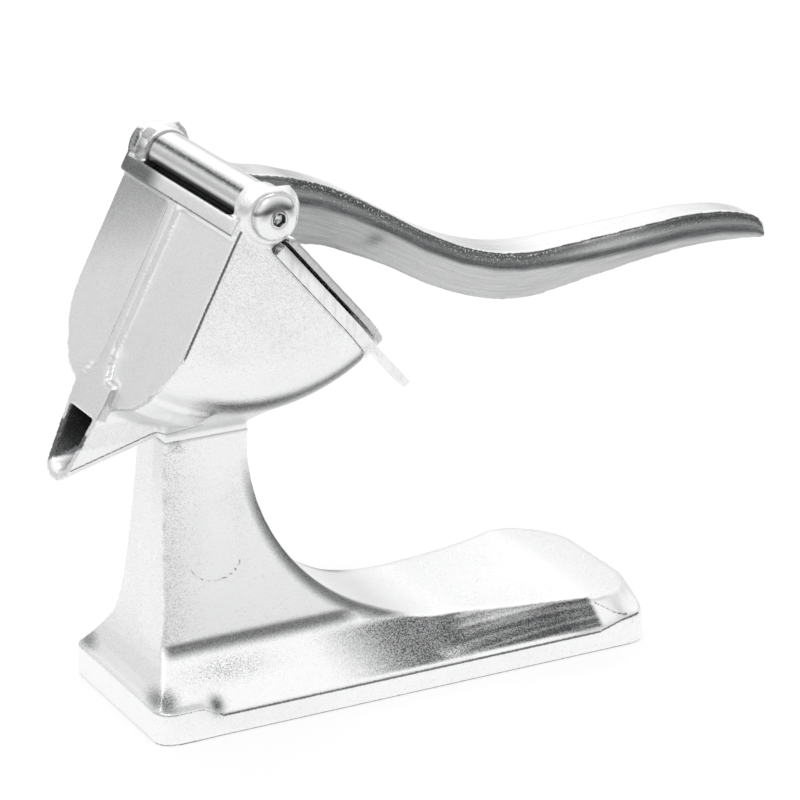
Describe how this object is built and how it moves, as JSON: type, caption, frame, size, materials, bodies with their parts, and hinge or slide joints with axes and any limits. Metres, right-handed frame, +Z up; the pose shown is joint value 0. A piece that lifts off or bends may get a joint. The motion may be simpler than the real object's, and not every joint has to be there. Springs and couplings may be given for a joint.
{
  "type": "manual citrus press",
  "caption": "Cast lever press for citrus: a hopper with a spout on a column and low base, a lift-out strainer, and a long curved lever with a presser plate on one hinge pin.",
  "frame": {"origin": "centre of the base plate's underside, on the surface that the press stands on", "axes": "+X along the base from the spout's end to the handle's end, +Y across the base, +Z up"},
  "size_m": [0.3385, 0.123, 0.235],
  "materials": {
    "cast_base": "satin casting",
    "cast_hopper": "satin casting",
    "strainer_metal": "bright",
    "cast_lever": "brushed",
    "screw_steel": "polished",
    "dark_steel": "satin",
    "washer_steel": "satin"
  },
  "bodies": {
    "stand": {"base": "cast_base", "hopper": "cast_hopper", "hinge_screw": "screw_steel", "hinge_sleeve": "screw_steel", "column_screws": "dark_steel", "column_washers": "washer_steel"},
    "strainer": {"strainer": "strainer_metal"},
    "lever": {"press_lever": "cast_lever"}
  },
  "joints": [
    {"name": "strainer_lift", "type": "hinge", "parent": "stand", "child": "strainer", "pos_m": [-0.0682, 0, 0.2242], "axis": [0, -1, 0], "range_deg": [0, 60]},
    {"name": "lever_swing", "type": "hinge", "parent": "strainer", "child": "lever", "pos_m": [-0.0682, 0, 0.2242], "axis": [0, -1, 0], "range_deg": [0, 95]}
  ]
}
